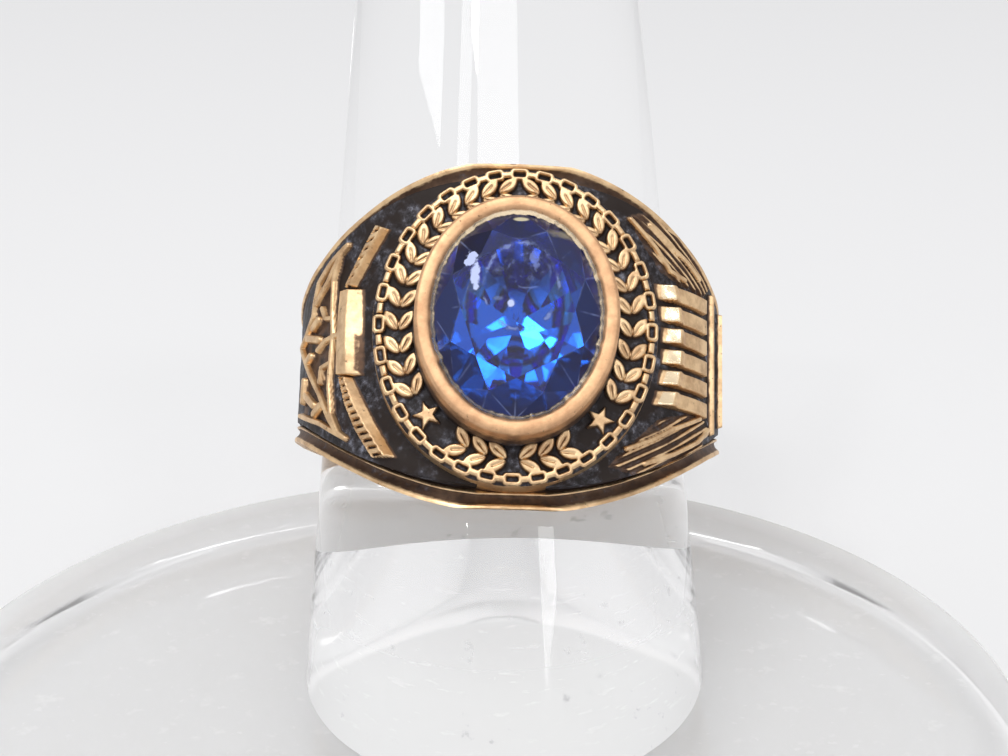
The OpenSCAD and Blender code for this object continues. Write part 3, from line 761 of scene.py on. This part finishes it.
# %% Gold
def gold(name, warm=(0.84, 0.6, 0.35), deep=(0.56, 0.36, 0.2), satin=0.38):
    """Metal that runs from a black ground over brown to bare gold as the lift grows."""
    m, tree, shader = material(name)
    where, lift = own_place(tree), attribute(tree, "lift")
    level = maths(tree, "ADD", lift, maths(tree, "MULTIPLY_ADD", noise(tree, where, 3000, 4), 0.44, -0.22))
    bare = ramp(tree, level, (0.44, 0.0), (0.66, 1.0))
    metal = ramp(tree, level, (0.12, 0.0), (0.3, 0.75), (0.6, 1.0))
    pits = ramp(tree, noise(tree, where, 4300, 2), (0.24, 0.4), (0.32, 1.0))
    mottled = ramp(tree, noise(tree, where, 1000, 5, 0.65), (0.36, 0.0), (0.6, 1.0))
    tone = blend(tree, 1.0, blend(tree, mottled, deep, warm), pits, "MULTIPLY")
    brown = ramp(tree, noise(tree, where, 900, 4, 0.6), (0.35, (0.095, 0.055, 0.038)),
                 (0.65, (0.17, 0.105, 0.07)))
    dust = ramp(tree, noise(tree, where, 2300, 5, 0.7), (0.42, (0.014, 0.011, 0.012)),
                (0.56, (0.06, 0.058, 0.07)), (0.7, (0.27, 0.28, 0.34)))
    dusty = ramp(tree, noise(tree, where, 520, 3), (0.42, 0.0), (0.56, 1.0))
    ground = blend(tree, dusty, (0.018, 0.011, 0.009), dust)
    colour = blend(tree, ramp(tree, level, (0.1, 0.0), (0.3, 1.0)), ground, brown)
    colour = blend(tree, bare, colour, tone)
    # Painted highlight: above a lift of 1.5 the colour turns pale cream and the surface smooth, and the
    # pale cream stands in part for the bright reflection of polished metal.
    pale_highlight = ramp(tree, times(tree, lift, 0.5), (0.7, 0.0), (0.85, 1.0))
    colour = blend(tree, pale_highlight, colour, (0.98, 0.79, 0.54))
    rough = ramp(tree, noise(tree, where, 420, 4), (0.3, satin - 0.05), (0.7, satin + 0.08))
    rough = blend(tree, pale_highlight, rough, (0.22, 0.22, 0.22))
    rough = blend(tree, bare, (0.55, 0.55, 0.55), rough)
    bump = node(tree, "ShaderNodeBump", {"Height": noise(tree, where, 2600, 5, 0.6), "Strength": 0.25,
                                         "Distance": 0.00006})
    feed(tree, shader, {"Base Color": colour, "Metallic": metal, "Roughness": rough,
                        "Specular IOR Level": 0.25, "Normal": bump.outputs["Normal"]})
    return m


antique_gold = gold("antique_gold")
satin_gold = gold("satin_gold", (0.72, 0.445, 0.25), (0.52, 0.3, 0.165), 0.46)
golden = ((band, antique_gold), (plate, antique_gold), (left, antique_gold), (right_panel, antique_gold),
          (collar, satin_gold))
for piece, finish in golden:
    piece.data.materials.append(finish)
    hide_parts("ring_band")
print("gold on", len(golden), "pieces")

# %% [markdown]
# ## The cut stone
# The stone is an oval with a flat table, eight star facets, eight kites, sixteen upper halves, a thin
# girdle and a pavilion of long facets. All corners lie on ovals at steps of a sixteenth of a turn. Each
# triangle is turned outwards by testing its normal against the way from the middle of the stone.

# %% Facets
def oval_ring(share, first, step, n):
    """Corners on an oval at a share of the stone's size, from a first sixteenth, at a height n."""
    a = np.radians(22.5 * np.arange(first, 16, step))
    return np.stack([stone_a * share * np.cos(a), stone_b * share * np.sin(a), np.full(len(a), n)], -1)


table_share, crown_h, tip_share, heart = 0.66, 1.1, 0.28, (0, 0, 14.0)
star_share = (1 + table_share) / 2
star_n = girdle_top + crown_h * (1 - star_share * math.cos(math.pi / 8)) / (1 - table_share)
tip_n = culet_n + (girdle_low - culet_n) * tip_share * math.cos(math.pi / 8)
cut = np.vstack([oval_ring(table_share, 0, 2, girdle_top + crown_h), oval_ring(star_share, 1, 2, star_n),
                 oval_ring(1, 0, 1, girdle_top), oval_ring(1, 0, 1, girdle_low),
                 oval_ring(tip_share, 1, 2, tip_n), [[0, 0, culet_n]]])
k, j = np.arange(8), np.arange(16)
after, before, next_j = (k + 1) % 8, (k + 7) % 8, (j + 1) % 16
crown_faces = [(k, after, 8 + k), (k, 8 + k, 16 + 2 * k), (k, 16 + 2 * k, 8 + before),
               (8 + k, 17 + 2 * k, 16 + 2 * k), (8 + k, 16 + (2 * k + 2) % 16, 17 + 2 * k)]
low_faces = [(16 + j, 16 + next_j, 32 + next_j), (16 + j, 32 + next_j, 32 + j),
             (48 + k, 32 + 2 * k, 33 + 2 * k), (48 + k, 33 + 2 * k, 32 + (2 * k + 2) % 16),
             (56 + 0 * k, 32 + 2 * k, 48 + k), (56 + 0 * k, 48 + before, 32 + 2 * k)]
triangles = np.concatenate([np.stack(group, -1) for group in crown_faces + low_faces])
p, q, r = (cut[triangles[:, i]] for i in range(3))
inwards = np.einsum("ij,ij->i", np.cross(q - p, r - p), (p + q + r) / 3 - heart) < 0
triangles[inwards] = triangles[inwards][:, ::-1]
corners = np.concatenate([k, triangles.ravel()])
sizes = np.concatenate([[8], np.full(len(triangles), 3)])
gem = mesh_object("stone_cut", ring_points(*cut.T), corners, sizes, 1)
print("stone_cut has", len(sizes), "facets, and a table of", sizes[0], "corners")

# %% [markdown]
# Each facet keeps three numbers for the material: how much of it is covered by the dark matt surface,
# which is painted shade, how light that painted shade is, and whether it lies on the foiled back. Two maps
# say where a point lies on the stone seen from above, and where it lies between the edges of its own facet.

# %% Facet numbers
chance = np.random.default_rng(8)
# Painted shade, set per facet: the upper star facets and the kites are dark and dull, the lower star facets
# stay clear, and one kite is set darkest.
star_dull = [0.5, 0.7, 0.65, 0.6, 0.08, 0.05, 0.05, 0.08]
star_shade = [0.8, 0.9, 1.0, 0.7, 0.4, 0.4, 0.4, 0.4]
kite_dull, kite_shade = [0.93, 0.9, 0.9, 0.97, 0.94, 0.93, 0.88, 0.9], chance.uniform(0.3, 0.7, 8)
kite_shade[3] = 0.0
dull = np.concatenate([[0], star_dull, kite_dull, kite_dull, chance.uniform(0.88, 0.98, 16)])
shade = np.concatenate([[0], star_shade, kite_shade, kite_shade, chance.uniform(0.1, 0.8, 16)])
foil = np.concatenate([np.zeros(len(dull)), np.ones(len(sizes) - len(dull))])
for name, values in (("dull", dull), ("shade", shade), ("foil", foil)):
    values = np.append(values, np.zeros(len(sizes) - len(values))).astype(np.float32)
    gem.data.attributes.new(name, "FLOAT", "FACE").data.foreach_set("value", values)
table_places = 0.5 + cut[corners, :2] / (2 * stone_a, 2 * stone_b)
edge_places = np.vstack([np.full((8, 2), 1 / 3), np.tile([(0, 0), (1, 0), (0, 1)], (len(triangles), 1))])
for name, places in (("table_map", table_places), ("edge_map", edge_places)):
    gem.data.uv_layers.new(name=name).data.foreach_set("uv", places.ravel())
print("facets on the foiled back:", int(foil.sum()))

# %% [markdown]
# ## Blue stone
# The stone is deep blue glass. Light is lost on its way through, so the colour is an absorption inside
# the stone and not a paint on its surface. The lower star facets are clear. The other facets of the
# crown are covered on the outside, each by its own share, by a dark navy matt surface, and so is the
# upper half of the table. This dark navy is painted shade, but light that is already inside still
# leaves through them. The scratches, a chip at the top edge and the pale worn edges of the facets are
# shares of the same matt surface, which is mixed over the glass. The back facets are foiled like a
# mirror, as on most glass stones, so that light comes back out at the front.

# %% Glass
blue_stone, tree, glass = material("blue_stone")
where = own_place(tree)
on_table = node(tree, "ShaderNodeUVMap", uv_map="table_map").outputs["UV"]
outside = from_outside(tree)
dull_shade_share, shade_share, foil_share = (attribute(tree, name) for name in ("dull", "shade", "foil"))
fray = noise(tree, where, 1700, 4, 0.7)
scuffs = ramp(tree, noise(tree, where, 900, 6, 0.7), (0.45, 0.02), (0.75, 0.1))
feed(tree, glass, {"Base Color": (0.88, 0.93, 1.0), "IOR": 1.72, "Specular IOR Level": 0.32,
                   "Transmission Weight": 1.0, "Roughness": scuffs})


# %% Worn places and painted shade
def spot(middle, size, softness=0.25, breakup=0.9):
    """A place on the table map: 1 inside an oval whose edge wanders with the noise. It draws worn places,
    and the painted shade of the upper table.
    """
    away = vectors(tree, "SUBTRACT", on_table, (*middle, 0))["Vector"]
    away = vectors(tree, "MULTIPLY", away, (1 / size[0], 1 / size[1], 0))["Vector"]
    away = vectors(tree, "LENGTH", away)["Value"]
    ragged = maths(tree, "MULTIPLY_ADD", fray, breakup, away)
    edge = 1 + 0.5 * breakup
    return ramp(tree, maths(tree, "DIVIDE", ragged, 2.0), ((edge - softness) / 2, 1.0), (edge / 2, 0.0))


def arc(middle, size, share):
    """A thin broken scratch along an oval."""
    outer = spot(middle, size, 0.06, 0.25)
    inner_part = spot(middle, (size[0] * 0.9, size[1] * 0.9), 0.06, 0.25)
    broken = ramp(tree, noise(tree, where, 1500, 3), (0.46, 0.0), (0.6, share))
    return times(tree, maths(tree, "SUBTRACT", outer, inner_part), broken)


white_wear = either(tree, spot((0.226, 0.735), (0.05, 0.06), 0.3, 2.4),
                    spot((0.25, 0.665), (0.03, 0.085), 0.3, 2.0),
                    spot((0.458, 0.523), (0.027, 0.027), 0.4, 0.9))
faint = times(tree, either(tree, spot((0.388, 0.545), (0.04, 0.013), 0.4, 0.8),
                           spot((0.6, 0.745), (0.045, 0.06), 0.5, 2.4)), 0.55)
cloudy = times(tree, spot((0.5, 0.7), (0.22, 0.17), 0.5, 0.6),
               ramp(tree, noise(tree, where, 1900, 4, 0.65), (0.5, 0.0), (0.72, 0.35)))
haze = either(tree, arc((0.515, 0.605), (0.235, 0.225), 0.75), arc((0.56, 0.68), (0.13, 0.09), 0.45),
              faint, cloudy)
# Painted shade: the upper half of the table is darkened from outside by the dark matt surface.
smoky_painted_shade = times(tree, times(tree, spot((0.5, 0.675), (0.255, 0.165), 0.5, 0.4), outside), 0.8)
chip = spot((0.51, 0.955), (0.052, 0.014), 0.3, 0.4)
dirt = spot((0.745, 0.885), (0.095, 0.03), 0.5, 1.2)
print("worn places drawn")

# %% Worn edges
in_facet = node(tree, "ShaderNodeUVMap", uv_map="edge_map").outputs["UV"]
in_facet = node(tree, "ShaderNodeSeparateXYZ", {0: in_facet}).outputs
third = maths(tree, "SUBTRACT", rest_of(tree, in_facet["X"]), in_facet["Y"])
nearest_edge = maths(tree, "MINIMUM", maths(tree, "MINIMUM", in_facet["X"], in_facet["Y"]), third)
rubbed = times(tree, ramp(tree, nearest_edge, (0.012, 1.0), (0.04, 0.0)),
               ramp(tree, noise(tree, where, 700, 3), (0.46, 0.0), (0.66, 0.35)))
print("worn edges drawn")

# %% Stone
# Painted shade: this navy darkens the crown facets and the upper half of the table, and the shade number
# sets how light it is on each facet.
painted_shade_navy = blend(tree, shade_share, (0.003, 0.004, 0.026), (0.026, 0.034, 0.1))
colour = blend(tree, either(tree, haze, rubbed), painted_shade_navy, (0.26, 0.33, 0.62))
colour = blend(tree, dirt, colour, (0.15, 0.14, 0.125))
colour = blend(tree, chip, colour, (0.55, 0.5, 0.34))
colour = blend(tree, white_wear, colour, (0.5, 0.57, 0.88))
matt = node(tree, "ShaderNodeBsdfPrincipled", {"Base Color": colour, "Roughness": 0.38, "IOR": 1.3})
# The share of the matt surface: painted shade on the crown and the upper table, together with real
# scratches, haze, dirt, the chip and worn edges.
worn_and_shaded = either(tree, times(tree, dull_shade_share, outside), smoky_painted_shade, white_wear, haze, chip, dirt,
              times(tree, rubbed, outside))
mixed = node(tree, "ShaderNodeMixShader", {0: worn_and_shaded, 1: glass.outputs[0], 2: matt.outputs[0]})
mirror = node(tree, "ShaderNodeBsdfPrincipled", {"Base Color": (0.86, 0.86, 0.88), "Metallic": 1.0,
                                                 "Roughness": 0.06})
foiled = node(tree, "ShaderNodeMixShader", {0: foil_share, 1: mixed.outputs[0], 2: mirror.outputs[0]})
absorb = node(tree, "ShaderNodeVolumeAbsorption", {"Color": (0.0, 0.58, 0.975), "Density": 450.0})
feed(tree, tree.nodes["Material Output"], {"Surface": foiled.outputs[0], "Volume": absorb.outputs[0]})
gem.data.materials.append(blue_stone)
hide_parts("stone")
print("stone material has", len(tree.nodes), "nodes")

# %% [markdown]
# ## Clear plastic
# The stand is clear cast plastic, and it has been handled for years. Its edges are rubbed white, which the
# lift attribute says. The foot of the rod is scuffed, with small specks and fine level scratches. A milky
# haze is a share of white in the clear surface. It fades out with height and is left off the underside,
# and it counts only where light meets the plastic from outside, so that it doesn't grey what lies behind.

# %% Clear plastic
clear_plastic, tree, shader = material("clear_plastic")
where = own_place(tree)
height_share = times(tree, node(tree, "ShaderNodeSeparateXYZ", {0: where}).outputs["Z"], 1 / 0.025)
low = ramp(tree, height_share, (0.38, 1.0), (0.64, 0.0))
on_rod = ramp(tree, height_share, (0.256, 0.0), (0.262, 1.0))
above_floor = ramp(tree, height_share, (0.008, 0.0), (0.02, 1.0))
specks = ramp(tree, noise(tree, where, 1300, 3, 0.6), (0.66, 0.0), (0.72, 1.0))
level = vectors(tree, "MULTIPLY", where, (600, 600, 3600))["Vector"]
scratches = ramp(tree, noise(tree, level, 1, 4, 0.6), (0.6, 0.0), (0.72, 0.7))
rod_foot = times(tree, low, on_rod)
marks = times(tree, either(tree, specks, scratches), rod_foot)
milk = times(tree, ramp(tree, low, (0.0, 0.02), (1.0, 0.28)), above_floor)
milk = blend(tree, marks, milk, (0.5, 0.5, 0.5))
milk = blend(tree, attribute(tree, "lift"), milk, (0.36, 0.36, 0.36))
tint = blend(tree, times(tree, specks, rod_foot), (1.0, 1.0, 1.0), (0.66, 0.66, 0.67))
hazy = ramp(tree, noise(tree, where, 160, 5, 0.65), (0.45, 0.0), (0.8, 0.05))
rough_foot = blend(tree, on_rod, (0.02, 0.02, 0.02), (0.08, 0.08, 0.08))
feed(tree, shader, {"Base Color": tint, "IOR": 1.33, "Roughness": blend(tree, low, hazy, rough_foot),
                    "Transmission Weight": rest_of(tree, times(tree, milk, from_outside(tree)))})
clear = ((rod, "stand_rod"), (base, "stand_base"))
for piece, name in clear:
    piece.data.materials.append(clear_plastic)
    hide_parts(name)
print("clear plastic on", len(clear), "pieces")

# %% [markdown]
# ## Floor, light and view
# The ring stands on a plain pale sheet. The light is a soft white surround with a broad panel, a thin
# strip and a side panel, which are what the rod and the rim reflect. Four small bright panels give the
# glints in the stone. All of them face one point near the ring from the same distance.

# %% Floor
bpy.ops.mesh.primitive_plane_add(size=3.0, location=(0, 0, -0.0002))
floor = bpy.context.object
floor.name = "floor"
paper, tree, shader = material("pale_paper")
feed(tree, shader, {"Base Color": (0.82, 0.82, 0.825), "Roughness": 0.75})
floor.data.materials.append(paper)

# %% Light
world = bpy.data.worlds.new("studio")
bpy.context.scene.world = world
world.use_nodes = True
tree = world.node_tree
direction = node(tree, "ShaderNodeTexCoord").outputs["Generated"]
height_up = node(tree, "ShaderNodeSeparateXYZ", {0: direction}).outputs["Z"]
sky = ramp(tree, height_up, (0.0, (0.92, 0.92, 0.93)), (0.5, (0.95, 0.95, 0.96)),
           (0.85, (0.86, 0.86, 0.87)), (1.0, (0.8, 0.8, 0.8)))
feed(tree, tree.nodes["Background"], {"Color": sky, "Strength": 0.87})
lit_point, lamp_distance = Vector((0.002, 0.005, 0.025)), 0.6

# %% Lamps
for name, azimuth, elevation, width, tall, power in (
        ("wide_panel", -1, 62.5, 0.284, 0.116, 0.6), ("thin_strip", -44, 61, 0.075, 0.22, 0.28),
        ("side_glint", 36, 44, 0.09, 0.084, 0.18), ("glint_left", -34, 63, 0.043, 0.034, 0.19006),
        ("glint_high", -20.5, 69, 0.024, 0.034, 0.10608), ("glint_front", 0, 52.8, 0.028, 0.021, 0.07644),
        ("glint_low", -32, 47, 0.036, 0.032, 0.14976)):
    lamp = bpy.data.lights.new(name, "AREA")
    lamp.shape, lamp.size, lamp.size_y, lamp.energy = "RECTANGLE", width, tall, power
    a, b = math.radians(azimuth), math.radians(elevation)
    towards = Vector((math.sin(a) * math.cos(b), -math.cos(a) * math.cos(b), math.sin(b)))
    made = bpy.data.objects.new(name, lamp)
    made.location = lit_point + towards * lamp_distance
    made.rotation_euler = towards.to_track_quat("Z", "Y").to_euler()
    bpy.context.collection.objects.link(made)
print("lamps:", len(bpy.data.lights))

# %% View
scene = bpy.context.scene
scene.view_settings.view_transform = "Standard"
scene.cycles.use_denoising = True
scene.cycles.max_bounces = 20
scene.cycles.glossy_bounces = 12
scene.cycles.transmission_bounces = 16
scene.cycles.transparent_max_bounces = 16
scene.cycles.caustics_refractive = True
scene.cycles.caustics_reflective = True
